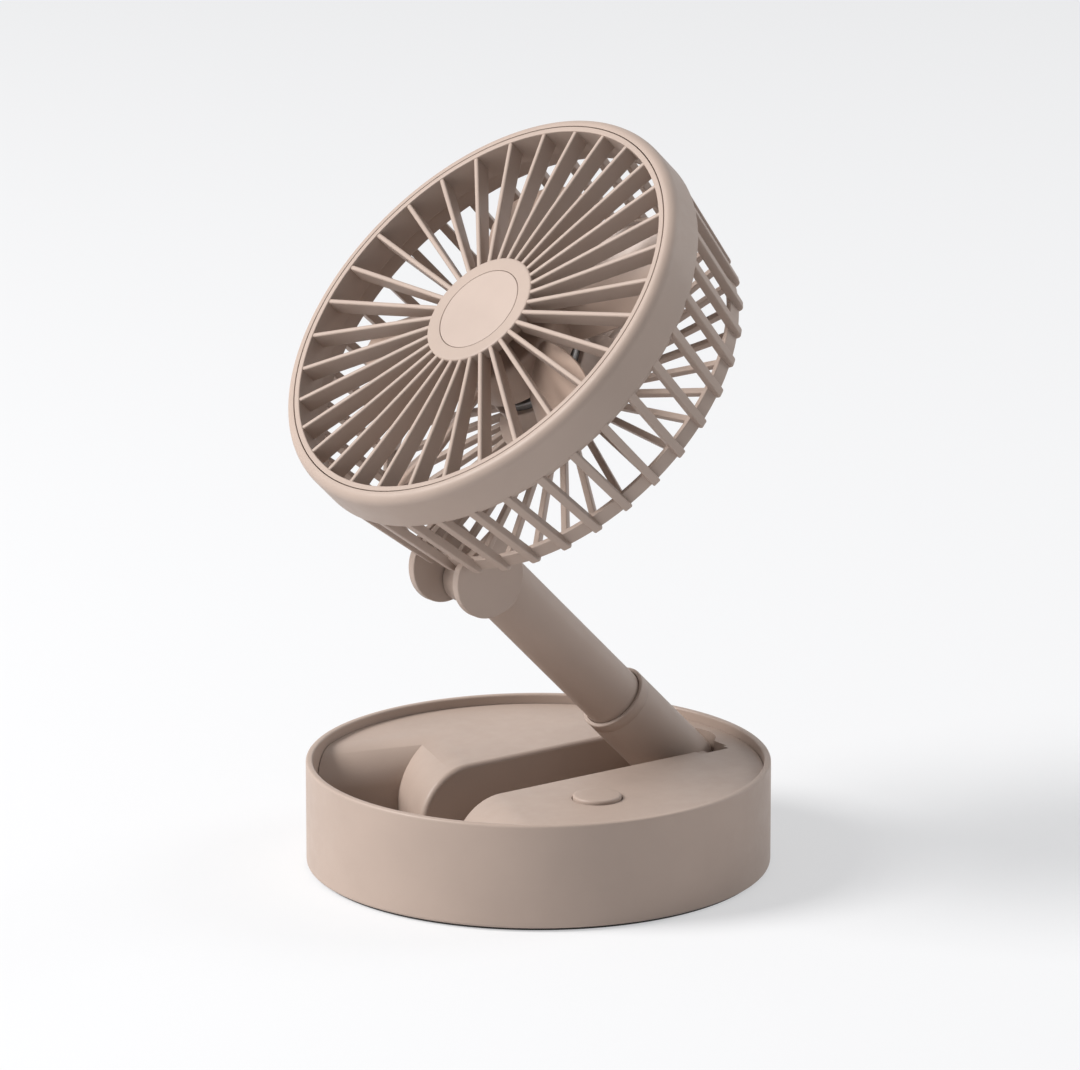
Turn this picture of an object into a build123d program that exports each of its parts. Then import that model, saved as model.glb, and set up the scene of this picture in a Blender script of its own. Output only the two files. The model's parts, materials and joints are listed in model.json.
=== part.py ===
from build123d import *
from math import cos, radians, sin
import os

# Folding desk fan. Millimetres, +Z up, origin at the middle of the underside, +X toward the arm's hinge.
# The arm is drawn raised at ARM_TILT, with its tube fully out and the head square to the arm.

# fits
PRESS_GAP = 0.05       # between pieces of one body that are pushed together
RUN_GAP = 0.05         # radial gap of pins and sliding tubes
CLEAR = 0.3            # between faces that pass each other

# base cup
BASE_R = 60.0
BASE_H = 28.0
FOOT_T = 0.8
FLOOR_T = 2.4
WALL_T = 1.8
RIM_FILLET = 0.6
FOOT_INSET = 5.5       # rubber pad inside the cup's edge
LEDGE_W = 3.0
LEDGE_ANGLES = (8, 45, 68, 100, -8, -45, -75, -105)

# deck
DECK_DROP = 2.6        # deck top below the rim
DECK_T = 2.2
TROUGH_T = 1.5
TROUGH_WALL = 1.5
CHANNEL_HALF = 12.2
CHANNEL_EDGE = 1.3     # rounded top edges of the channel
ROLL_R = 14.0
FAR_EDGE = (-13.5, 12.2, -20.9)     # where the deck starts to roll down: point and lean of the edge
NEAR_EDGE = (-21.0, -12.2, -19.0)
BACK_EDGE = (-4.0, 41.0, 74.8)
BACK_ROLL_R = 10.0
NOTCH_L = 9.0
NOTCH_W = 3.4
NOTCH_D = 5.4
SCREW_TURNS = (-38.0, -127.5, 33.5, 92.0)
SCREW_INSETS = (9.6, 15.2, 7.5, 14.0)   # screws inside the deck's edge
SCREW_R = 1.25
SCREW_HEAD_R = 2.4
SCREW_HEAD_T = 1.3
BOSS_R = 3.0

# arm
PIVOT_INSET = 14.54    # arm's hinge inside the cup's edge
PIVOT_Z = 18.42
ARM_TILT = 45.0
ARM_LEN = 86.7
KNUCKLE_DROP = 3.0     # tilt axis below the arm's axis
SLEEVE_R = 9.33
SLEEVE_LEN = 30.8
SLEEVE_WALL = 0.95
SLEEVE_FOOT = 6.4      # solid end round the pin
COLLAR_L = 3.0
TUBE_R = 8.08
TUBE_WALL = 1.5
GUIDE_L = 12.0         # tube kept in the sleeve when fully out
TUBE_PLUG = 14.0
KNUCKLE_R = 6.5
HINGE_PIN_R = 2.0
HINGE_BOSS_R = 5.2
WASHER_T = 0.6
BRACKET_T = 1.5
BRACKET_EAR_R = 4.6
CORE_R = 4.2
TILT_PIN_R = 2.0

# head, measured along its axis from the front seam toward the back, and from that axis outward
FOLD_GAP = 0.42        # folded head above the rim
REAR_S = 39.4
RING_R = 60.1
RING_BACK_S = 11.3
RING_LIP = 1.9         # width of the ring's rounded front
RING_T = 3.0           # ring's outside to the seam with the grille
RING_WALL = 1.5
RING_SEAT_S = 8.6      # back of the ring's inner flange
CAGE_TAPER = 5.0       # cage narrower at the back than the ring
REAR_RING_L = 4.6
REAR_RING_T = 2.1
RIB_COUNT = 36
RIB_W = 2.3
RIB_DEPTH = 2.4
COLLAR_BACK_S = 13.2
GRILLE_WALL = 1.5
GRILLE_DEPTH = 9.0
SPOKE_COUNT = 32
SPOKE_W = 1.3
SPOKE_DEPTH = 5.5
HUB_R = 16.1
HUB_S = 1.0
HUB_T = 3.0
DISC_R = 12.0
DISC_T = 1.4
GROOVE = 0.25
BACK_SPOKE_W = 1.8
BACK_T = 2.0
BACK_HUB_R = 19.0
MOTOR_R = 13.0
MOTOR_L = 12.0
MOTOR_WALL = 1.6
SHAFT_R = 1.15
COVER_R = 15.0
COVER_T = 1.0
EAR_R = 10.3
EAR_INSET = 4.2        # ear's centre inside the cage's back
EAR_S = 46.0
EAR_T = 2.45
BLADES = 5
BLADE_GAP = 4.5        # blade tips inside the grille's wall
BLADE_T = 1.3
FAN_HUB_R = 15.5
FAN_FRONT_S = 10.0
FAN_L = 12.0

# button and electronics
BUTTON_XY = (-4.2, -31.1)
BUTTON_R = 6.25
BUTTON_RISE = 1.2
BUTTON_TRAVEL = 0.6
SWITCH_Z = 12.6
BOARD_T = 1.2
CELL = (48.0, 32.0, 8.5)
CELL_XY = (4.0, -33.0)
USB_INSET = 6.0        # socket's back inside the cup's wall
BOARD_L = 27.0
BOARD_W = 22.0
BOARD_SHIFT = -3.0
POST_R = 1.6
CHIP = 6.0
CHIP_H = 1.0
SWITCH_SIDE = 6.0
SWITCH_H = 3.5
PLUNGER_R = 1.7
SWITCH_BOARD = (24.0, 12.0)
SWITCH_POST = 9.5      # from the button's middle
MOTOR_SCREW_RING = 8.0
MOTOR_SCREW_R = 0.95
BOARD_TURN = 75.0      # direction of the charging socket round the base
USB_W = 9.2
USB_H = 3.4

# derived
INNER_R = BASE_R - WALL_T
DECK_R = INNER_R - 0.2
FOOT_R = BASE_R - FOOT_INSET
PIVOT_X = BASE_R - PIVOT_INSET
SCREW_SPOTS = [((DECK_R - inset) * cos(radians(turn)), (DECK_R - inset) * sin(radians(turn)))
               for turn, inset in zip(SCREW_TURNS, SCREW_INSETS)]
SEAM_R = RING_R - RING_T
RING_LIP_R = RING_R - RING_LIP
CAGE_REAR_R = RING_R - CAGE_TAPER
EAR_M = CAGE_REAR_R - EAR_INSET
BLADE_R = SEAM_R - GRILLE_WALL - 0.1 - BLADE_GAP
FLOOR_TOP = FOOT_T + FLOOR_T
DECK_TOP = BASE_H - DECK_DROP
DECK_UNDER = DECK_TOP - DECK_T
TROUGH_Z = PIVOT_Z - SLEEVE_R - 2 * CLEAR
TROUGH_UNDER = TROUGH_Z - TROUGH_T
EAR_IN = TUBE_R + CLEAR + 0.07
EAR_OUT = EAR_IN + EAR_T
BRACKET_IN = CHANNEL_HALF + TROUGH_WALL + 0.15
BOSS_HALF = CHANNEL_HALF - 0.1 - WASHER_T
SLEEVE_BORE = SLEEVE_R - SLEEVE_WALL
BACK_GAP = BASE_H + FOLD_GAP - PIVOT_Z + KNUCKLE_DROP     # tilt axis behind the head's back plane

along = Vector(-cos(radians(ARM_TILT)), 0, sin(radians(ARM_TILT)))
below = Vector(-sin(radians(ARM_TILT)), 0, -cos(radians(ARM_TILT)))
pivot = Vector(PIVOT_X, 0, PIVOT_Z)
knuckle = pivot + along * ARM_LEN + below * KNUCKLE_DROP
KNUCKLE_S = REAR_S + BACK_GAP
KNUCKLE_M = EAR_M - 0.55
centre = knuckle + along * KNUCKLE_S - below * KNUCKLE_M

ARM = Plane(origin=pivot, x_dir=below, z_dir=along)
HEAD = Plane(origin=centre, x_dir=below, z_dir=-along)
HEAD_AXIS = Axis(centre, -along)
ARM_AXIS = Axis(pivot, along)


def side_plane(origin, y, x_dir):
    """A plane square to Y at height y, facing the near side."""
    return Plane(origin=(origin.X, y, origin.Z), x_dir=x_dir, z_dir=(0, -1, 0))


def head_section(turn):
    """Half-plane through the head's axis: x outward, y toward the back."""
    out = HEAD.x_dir * cos(radians(turn)) + HEAD.y_dir * sin(radians(turn))
    return Plane(origin=centre, x_dir=out, z_dir=out.cross(HEAD.z_dir))


def arm_section():
    """Half-plane through the arm's axis: x outward, y up the arm."""
    return Plane(origin=pivot, x_dir=ARM.x_dir, z_dir=ARM.x_dir.cross(ARM.z_dir))


def turned_ring(section, axis, points):
    with BuildPart() as ring:
        with BuildSketch(section):
            Polygon(*points, align=None)
        revolve(axis=axis)
    return ring.part


def rolled_block(edge, roll, skin, low):
    """Long block whose end rolls down from the deck's top to a wall, made smaller by skin."""
    x, y, lean = edge
    out = (cos(radians(lean)), sin(radians(lean)), 0)
    plane = Plane(origin=(x, y, 0), x_dir=out, z_dir=(out[1], -out[0], 0))
    r, top, far = roll - skin, DECK_TOP - skin, 3 * BASE_R
    with BuildPart() as block:
        with BuildSketch(plane):
            with BuildLine():
                Polyline((-r, top - r), (-r, low), (far, low), (far, top), (0, top))
                ThreePointArc((0, top), (-r * sin(radians(45)), top - r + r * cos(radians(45))), (-r, top - r))
            make_face()
        extrude(amount=far, both=True)
    return block.part


def lobes(skin, low, radius):
    """The raised parts of the deck on both sides of the channel."""
    with BuildPart() as far_side:
        add(rolled_block(FAR_EDGE, ROLL_R, skin, low))
        add(rolled_block(BACK_EDGE, BACK_ROLL_R, skin, low))
        with BuildSketch(Plane.XY.offset(low)):
            Circle(radius)
            Rectangle(4 * BASE_R, 2 * BASE_R, align=(Align.CENTER, Align.MAX), mode=Mode.SUBTRACT)
        extrude(amount=BASE_H, mode=Mode.INTERSECT)
    with BuildPart() as near_side:
        add(rolled_block(NEAR_EDGE, ROLL_R, skin, low))
        with BuildSketch(Plane.XY.offset(low)):
            Circle(radius)
            Rectangle(4 * BASE_R, 2 * BASE_R, align=(Align.CENTER, Align.MIN), mode=Mode.SUBTRACT)
        extrude(amount=BASE_H, mode=Mode.INTERSECT)
        add(far_side.part)
    return near_side.part


def channel_sketch(grow):
    """Plan of the arm's channel: open to the left, round at the hinge end."""
    with BuildSketch(mode=Mode.PRIVATE) as plan:
        with Locations((PIVOT_X, 0)):
            Circle(SLEEVE_R + CLEAR + grow)
        with Locations((PIVOT_X + HINGE_BOSS_R + CLEAR + grow, 0)):
            Rectangle(3 * BASE_R, 2 * (CHANNEL_HALF + grow), align=(Align.MAX, Align.CENTER))
    return plan.sketch


def channel_cut(grow, low):
    with BuildPart() as cut:
        with BuildSketch(Plane.XY.offset(low)):
            add(channel_sketch(grow))
        extrude(amount=BASE_H)
    return cut.part


# ---- base: cup, deck, foot pad, screws -------------------------------------------------
board_dir = Vector(cos(radians(BOARD_TURN)), sin(radians(BOARD_TURN)), 0)
board_side = Vector(-board_dir.Y, board_dir.X, 0)
BOARD_MID = INNER_R - USB_INSET - 2.7 - BOARD_L / 2
BOARD_Z = FLOOR_TOP + 2.0
USB_Z = BOARD_Z + BOARD_T + USB_H / 2
board_plane = Plane(origin=(0, 0, BOARD_Z), x_dir=board_dir, z_dir=(0, 0, 1))
usb_plane = Plane(origin=(0, 0, USB_Z), x_dir=(0, 0, 1), z_dir=board_dir)

with BuildPart() as base_shell:
    with BuildSketch(Plane.XY.offset(FOOT_T)):
        Circle(BASE_R)
    extrude(amount=BASE_H - FOOT_T)
    with BuildSketch(Plane.XY.offset(FLOOR_TOP)):
        Circle(INNER_R)
    extrude(amount=BASE_H, mode=Mode.SUBTRACT)
    fillet(base_shell.edges().group_by(Axis.Z)[-1], RIM_FILLET)
    fillet(base_shell.edges().group_by(Axis.Z)[0], RIM_FILLET)
    with BuildSketch(Plane.XY.offset(FLOOR_TOP)):
        for turn in LEDGE_ANGLES:
            with Locations(Rotation(0, 0, turn) * Location((INNER_R + WALL_T / 2, 0, 0))):
                Rectangle(LEDGE_W, LEDGE_W, align=(Align.MAX, Align.CENTER))
    extrude(amount=DECK_UNDER - FLOOR_TOP - PRESS_GAP)
    with BuildSketch(Plane.XY.offset(FLOOR_TOP)):
        for side in (-1, 1):
            with Locations((PIVOT_X, side * BRACKET_IN / 2)):
                Circle(BOSS_R)
        for step in (-1, 1):
            with Locations(board_dir * (BOARD_MID + BOARD_L / 2 - 2 * POST_R) + board_side * (step * (BOARD_W / 2 - 2 * POST_R) + BOARD_SHIFT)):
                Circle(POST_R)
    extrude(amount=BOARD_Z - FLOOR_TOP - PRESS_GAP)
    with BuildSketch(Plane.XY.offset(FOOT_T)):
        with Locations(*SCREW_SPOTS):
            Circle(SCREW_R + 0.15)
    extrude(amount=FLOOR_T, mode=Mode.SUBTRACT)
    with BuildSketch(Plane.XY.offset(FOOT_T)):
        with Locations(*SCREW_SPOTS):
            Circle(SCREW_HEAD_R + 0.2)
    extrude(amount=SCREW_HEAD_T + 0.1, mode=Mode.SUBTRACT)
    with BuildSketch(usb_plane.offset(INNER_R - LEDGE_W)):
        RectangleRounded(USB_H + 2 * PRESS_GAP, USB_W + 2 * PRESS_GAP, USB_H / 2 - PRESS_GAP)
    extrude(amount=2 * LEDGE_W, mode=Mode.SUBTRACT)
base_shell.part.label = "base_shell"

with BuildPart() as foot_pad:
    with BuildSketch():
        Circle(FOOT_R)
    extrude(amount=FOOT_T - 0.02)
    fillet(foot_pad.edges().group_by(Axis.Z)[0], 0.25)
foot_pad.part.label = "foot_pad"

with BuildPart() as base_deck:
    add(lobes(0, TROUGH_UNDER, DECK_R))
    with BuildSketch(Plane.XY.offset(TROUGH_UNDER)):
        Circle(DECK_R)
    extrude(amount=TROUGH_T)
    add(channel_cut(0, TROUGH_Z), mode=Mode.SUBTRACT)
    boxes = [(e, e.bounding_box()) for e in base_deck.edges()]
    fillet([e for e, box in boxes if abs(abs(box.center().Y) - CHANNEL_HALF) < PRESS_GAP and box.size.Y < PRESS_GAP
            and box.max.Z > TROUGH_Z + 1 and box.size.X > 1], CHANNEL_EDGE)
    add(lobes(DECK_T, TROUGH_UNDER - 1, BASE_R) - channel_cut(TROUGH_WALL, 0), mode=Mode.SUBTRACT)
    with BuildSketch(Plane.XY.offset(FLOOR_TOP + PRESS_GAP)):
        with Locations(*SCREW_SPOTS):
            Circle(BOSS_R)
    extrude(amount=DECK_UNDER + DECK_T / 2 - FLOOR_TOP)
    with BuildSketch(Plane.XY.offset(SWITCH_Z + BOARD_T + PRESS_GAP)):
        for side in (-1, 1):
            with Locations((BUTTON_XY[0] + side * SWITCH_POST, BUTTON_XY[1])):
                Circle(1.8)
    extrude(amount=DECK_UNDER + DECK_T / 2 - SWITCH_Z - BOARD_T)
    with BuildSketch(Plane.XY.offset(FLOOR_TOP)):
        with Locations(*SCREW_SPOTS):
            Circle(SCREW_R)
    extrude(amount=8.0, mode=Mode.SUBTRACT)
    with BuildSketch(Plane.XY.offset(DECK_TOP)):
        with Locations((PIVOT_X, 0)):
            Rectangle(NOTCH_L, 2 * (CHANNEL_HALF + NOTCH_W))
    extrude(amount=-NOTCH_D, mode=Mode.SUBTRACT)
    with BuildSketch(side_plane(pivot, 0, (1, 0, 0))):
        Circle(HINGE_PIN_R + 0.2)
    extrude(amount=BRACKET_IN, both=True, mode=Mode.SUBTRACT)
    with BuildSketch(Plane.XY.offset(DECK_UNDER)):
        with Locations(BUTTON_XY):
            Circle(BUTTON_R + CLEAR)
    extrude(amount=DECK_T + 1, mode=Mode.SUBTRACT)
base_deck.part.label = "base_deck"

with BuildPart() as deck_screws:
    with BuildSketch(Plane.XY.offset(FOOT_T + 0.05)):
        with Locations(*SCREW_SPOTS):
            Circle(SCREW_HEAD_R)
    extrude(amount=SCREW_HEAD_T)
    with BuildSketch(Plane.XY.offset(FOOT_T + 0.05)):
        with Locations(*SCREW_SPOTS):
            Circle(SCREW_R - PRESS_GAP)
    extrude(amount=8.0)
    with BuildSketch(Plane.XY.offset(FOOT_T + 0.05)):
        with Locations(*SCREW_SPOTS):
            RegularPolygon(1.1, 6)
    extrude(amount=SCREW_HEAD_T * 0.6, mode=Mode.SUBTRACT)
deck_screws.part.label = "deck_screws"

# ---- hinge: bracket, pin, washers -------------------------------------------------------
with BuildPart() as hinge_bracket:
    with BuildSketch(side_plane(pivot, 0, (1, 0, 0))):
        Circle(BRACKET_EAR_R)
        with Locations((0, BOARD_Z - PIVOT_Z)):
            Rectangle(2 * BRACKET_EAR_R, PIVOT_Z - BOARD_Z, align=(Align.CENTER, Align.MIN))
    extrude(amount=BRACKET_IN + BRACKET_T, both=True)
    with BuildSketch(side_plane(pivot, 0, (1, 0, 0))):
        with Locations((0, TROUGH_UNDER - PIVOT_Z - PRESS_GAP)):
            Rectangle(4 * BRACKET_EAR_R, 2 * PIVOT_Z, align=(Align.CENTER, Align.MIN))
    extrude(amount=BRACKET_IN, both=True, mode=Mode.SUBTRACT)
    with BuildSketch(side_plane(pivot, 0, (1, 0, 0))):
        Circle(HINGE_PIN_R + 0.02)
    extrude(amount=2 * BRACKET_IN, both=True, mode=Mode.SUBTRACT)
hinge_bracket.part.label = "hinge_bracket"

with BuildPart() as hinge_pin:
    with BuildSketch(side_plane(pivot, 0, (1, 0, 0))):
        Circle(HINGE_PIN_R)
    extrude(amount=BRACKET_IN + BRACKET_T + 1.2, both=True)
    chamfer(hinge_pin.edges(), 0.3)
    with BuildSketch(side_plane(pivot, -BRACKET_IN - BRACKET_T - PRESS_GAP, (1, 0, 0))):
        Circle(HINGE_PIN_R + 1.2)
    extrude(amount=1.0)
hinge_pin.part.label = "hinge_pin"

with BuildPart() as hinge_washers:
    for side in (-1, 1):
        with BuildSketch(side_plane(pivot, side * (BOSS_HALF + 0.03 + WASHER_T / 2), (1, 0, 0))):
            Circle(HINGE_BOSS_R)
            Circle(HINGE_PIN_R + 0.03, mode=Mode.SUBTRACT)
    extrude(amount=WASHER_T / 2, both=True)
hinge_washers.part.label = "hinge_washers"

# ---- electronics in the base ------------------------------------------------------------
with BuildPart() as battery_cell:
    with BuildSketch(Plane.XY.offset(FLOOR_TOP + PRESS_GAP)):
        with Locations(CELL_XY):
            RectangleRounded(CELL[0], CELL[1], 3.0)
    extrude(amount=CELL[2])
    fillet(battery_cell.edges().group_by(Axis.Z)[-1], 0.8)
battery_cell.part.label = "battery_cell"

with BuildPart() as control_board:
    with BuildSketch(board_plane):
        with Locations((BOARD_MID, BOARD_SHIFT)):
            Rectangle(BOARD_L, BOARD_W)
    extrude(amount=BOARD_T)
    with BuildSketch(board_plane.offset(BOARD_T)):
        with Locations((BOARD_MID - CHIP, BOARD_SHIFT)):
            Rectangle(CHIP, CHIP)
        with Locations((BOARD_MID + CHIP / 3, BOARD_SHIFT + CHIP), (BOARD_MID + CHIP / 3, BOARD_SHIFT - CHIP)):
            Rectangle(CHIP / 2, CHIP / 3)
    extrude(amount=CHIP_H)
control_board.part.label = "control_board"

with BuildPart() as usb_socket:
    with BuildSketch(usb_plane.offset(INNER_R - USB_INSET)):
        RectangleRounded(USB_H - PRESS_GAP, USB_W, USB_H / 2 - PRESS_GAP)
    extrude(amount=7.2)
    with BuildSketch(usb_plane.offset(INNER_R - USB_INSET + 1.5)):
        RectangleRounded(USB_H - 0.8, USB_W - 0.8, USB_H / 2 - 0.45)
    extrude(amount=8.0, mode=Mode.SUBTRACT)
    with BuildSketch(usb_plane.offset(INNER_R - USB_INSET + 1.0)):
        Rectangle(0.7, 6.4)
    extrude(amount=5.0)
usb_socket.part.label = "usb_socket"

with BuildPart() as switch_board:
    with BuildSketch(Plane.XY.offset(SWITCH_Z)):
        with Locations(BUTTON_XY):
            RectangleRounded(*SWITCH_BOARD, 1)
    extrude(amount=BOARD_T)
switch_board.part.label = "switch_board"

PLUNGER_TOP = SWITCH_Z + BOARD_T + 5.0
with BuildPart() as tact_switch:
    with BuildSketch(Plane.XY.offset(SWITCH_Z + BOARD_T)):
        with Locations(BUTTON_XY):
            Rectangle(SWITCH_SIDE, SWITCH_SIDE)
    extrude(amount=SWITCH_H)
    with BuildSketch(Plane.XY.offset(SWITCH_Z + BOARD_T + 1.0)):
        with Locations(BUTTON_XY):
            Circle(PLUNGER_R + 0.1)
    extrude(amount=SWITCH_H, mode=Mode.SUBTRACT)
tact_switch.part.label = "tact_switch"

with BuildPart() as switch_plunger:
    with BuildSketch(Plane.XY.offset(PLUNGER_TOP)):
        with Locations(BUTTON_XY):
            Circle(PLUNGER_R)
    extrude(amount=-(PLUNGER_TOP - SWITCH_Z - BOARD_T - 1.0 - BUTTON_TRAVEL - CLEAR))
switch_plunger.part.label = "switch_plunger"

with BuildPart() as power_button:
    with BuildSketch(Plane.XY.offset(DECK_UNDER - CLEAR)):
        with Locations(BUTTON_XY):
            Circle(BUTTON_R)
    extrude(amount=DECK_TOP + BUTTON_RISE - DECK_UNDER + CLEAR)
    fillet(power_button.edges().group_by(Axis.Z)[-1], 0.6)
    with BuildSketch(Plane.XY.offset(DECK_UNDER - CLEAR)):
        with Locations(BUTTON_XY):
            Circle(BUTTON_R + 0.9)
    extrude(amount=-1.0)
    with BuildSketch(Plane.XY.offset(DECK_UNDER - CLEAR)):
        with Locations(BUTTON_XY):
            Circle(1.6)
    extrude(amount=-(DECK_UNDER - CLEAR - PLUNGER_TOP))
power_button.part.label = "power_button"

# ---- arm: sleeve, collar, tube, bushing -------------------------------------------------
with BuildPart() as outer_sleeve:
    with BuildSketch(ARM):
        Circle(SLEEVE_R)
    extrude(amount=SLEEVE_LEN - COLLAR_L)
    with BuildSketch(arm_section()):
        with BuildLine():
            Polyline((0, -SLEEVE_R), (0, 0), (SLEEVE_R, 0))
            ThreePointArc((SLEEVE_R, 0), (SLEEVE_R * sin(radians(45)), -SLEEVE_R * cos(radians(45))),
                          (0, -SLEEVE_R))
        make_face()
    revolve(axis=ARM_AXIS)
    with BuildSketch(side_plane(pivot, 0, (1, 0, 0))):
        Circle(HINGE_BOSS_R)
    extrude(amount=BOSS_HALF, both=True)
    with BuildSketch(ARM.offset(SLEEVE_FOOT)):
        Circle(SLEEVE_BORE)
    extrude(amount=SLEEVE_LEN, mode=Mode.SUBTRACT)
    with BuildSketch(side_plane(pivot, 0, (1, 0, 0))):
        Circle(HINGE_PIN_R + RUN_GAP)
    extrude(amount=BOSS_HALF + 1, both=True, mode=Mode.SUBTRACT)
outer_sleeve.part.label = "outer_sleeve"

sleeve_collar = turned_ring(arm_section(), ARM_AXIS, (
    (TUBE_R + RUN_GAP, SLEEVE_LEN - COLLAR_L + PRESS_GAP), (SLEEVE_R, SLEEVE_LEN - COLLAR_L + PRESS_GAP),
    (SLEEVE_R, SLEEVE_LEN - 0.6), (SLEEVE_R - 0.5, SLEEVE_LEN), (TUBE_R + 0.35, SLEEVE_LEN),
    (TUBE_R + RUN_GAP, SLEEVE_LEN - 0.3)))
sleeve_collar.label = "sleeve_collar"

TUBE_FOOT = SLEEVE_LEN - GUIDE_L
with BuildPart() as inner_tube:
    with BuildSketch(ARM.offset(TUBE_FOOT)):
        Circle(TUBE_R)
    extrude(amount=ARM_LEN - TUBE_FOOT)
    with BuildSketch(arm_section()):
        with BuildLine():
            Polyline((0, ARM_LEN + TUBE_R), (0, ARM_LEN), (TUBE_R, ARM_LEN))
            ThreePointArc((TUBE_R, ARM_LEN), (TUBE_R * sin(radians(45)), ARM_LEN + TUBE_R * cos(radians(45))),
                          (0, ARM_LEN + TUBE_R))
        make_face()
    revolve(axis=ARM_AXIS)
    with BuildSketch(side_plane(knuckle, 0, (1, 0, 0))):
        Circle(KNUCKLE_R)
    extrude(amount=TUBE_R - 0.05, both=True)
    with BuildSketch(side_plane(knuckle, 0, (1, 0, 0))):
        Circle(CORE_R + RUN_GAP)
    extrude(amount=TUBE_R + 1, both=True, mode=Mode.SUBTRACT)
    with BuildSketch(ARM.offset(TUBE_FOOT)):
        Circle(TUBE_R - TUBE_WALL)
    extrude(amount=ARM_LEN - TUBE_FOOT - TUBE_PLUG, mode=Mode.SUBTRACT)
inner_tube.part.label = "inner_tube"

tube_bushing = turned_ring(arm_section(), ARM_AXIS, (
    (TUBE_R + 0.01, TUBE_FOOT), (SLEEVE_BORE - RUN_GAP, TUBE_FOOT),
    (SLEEVE_BORE - RUN_GAP, SLEEVE_LEN - COLLAR_L - CLEAR), (TUBE_R + 0.01, SLEEVE_LEN - COLLAR_L - CLEAR)))
tube_bushing.label = "tube_bushing"

# ---- tilt joint: core and pin -----------------------------------------------------------
with BuildPart() as tilt_core:
    with BuildSketch(side_plane(knuckle, 0, (1, 0, 0))):
        Circle(CORE_R)
        Circle(TILT_PIN_R + RUN_GAP, mode=Mode.SUBTRACT)
    extrude(amount=EAR_IN - 0.12, both=True)
tilt_core.part.label = "tilt_core"

PIN_HEAD_R = 3.0
PIN_HEAD_T = 1.0
BLIND = 1.5            # depth of the pin's hole in the near ear
with BuildPart() as tilt_pin:
    with BuildSketch(side_plane(knuckle, EAR_OUT - 0.2, (1, 0, 0))):
        Circle(PIN_HEAD_R)
    extrude(amount=PIN_HEAD_T)
    with BuildSketch(side_plane(knuckle, EAR_OUT - 0.2, (1, 0, 0))):
        Circle(TILT_PIN_R)
    extrude(amount=EAR_OUT - 0.2 + EAR_IN + BLIND - 0.1)
    with BuildSketch(side_plane(knuckle, EAR_OUT - 0.2, (1, 0, 0))):
        Rectangle(4.2, 0.9)
    extrude(amount=0.5, mode=Mode.SUBTRACT)
tilt_pin.part.label = "tilt_pin"

# ---- head: rings and cage ---------------------------------------------------------------
front_ring = turned_ring(head_section(0), HEAD_AXIS, (
    (SEAM_R + 0.1, 0.35), (SEAM_R + 0.35, 0.1), (RING_LIP_R - 0.1, 0.1), (RING_LIP_R + 0.8, 0.45),
    (RING_R - 0.55, 1.2), (RING_R - 0.1, 2.2), (RING_R, 3.4), (RING_R, RING_BACK_S),
    (RING_R - RING_WALL, RING_BACK_S), (RING_R - RING_WALL, RING_SEAT_S), (SEAM_R + 0.1, RING_SEAT_S)))
front_ring.label = "front_ring"

GRILLE_R = SEAM_R - 0.1
with BuildPart() as front_grille:
    with BuildSketch(head_section(0)):
        Polygon((GRILLE_R - GRILLE_WALL, 0.5), (GRILLE_R - GRILLE_WALL + 0.3, 0.1), (GRILLE_R - 0.25, 0.1),
                (GRILLE_R, 0.35), (GRILLE_R, GRILLE_DEPTH - 0.6), (GRILLE_R - GRILLE_WALL, GRILLE_DEPTH - 0.6),
                align=None)
        Polygon((DISC_R + GROOVE, HUB_S), (HUB_R - 0.4, HUB_S), (HUB_R, HUB_S + 0.4), (HUB_R, HUB_S + HUB_T),
                (0, HUB_S + HUB_T), (0, HUB_S + DISC_T + 0.1), (DISC_R + GROOVE, HUB_S + DISC_T + 0.1), align=None)
    revolve(axis=HEAD_AXIS)
    with BuildSketch(*[head_section(180 + i * 360 / SPOKE_COUNT) for i in range(SPOKE_COUNT)]):
        Polygon((HUB_R - 1.0, HUB_S + 0.2), (GRILLE_R - GRILLE_WALL / 2, 0.4),
                (GRILLE_R - GRILLE_WALL / 2, SPOKE_DEPTH), (HUB_R - 1.0, SPOKE_DEPTH), align=None)
    extrude(amount=SPOKE_W / 2, both=True)
front_grille.part.label = "front_grille"

with BuildPart() as hub_disc:
    with BuildSketch(HEAD.offset(HUB_S)):
        Circle(DISC_R)
    extrude(amount=DISC_T)
    fillet(hub_disc.edges(), 0.2)
hub_disc.part.label = "hub_disc"

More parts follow.
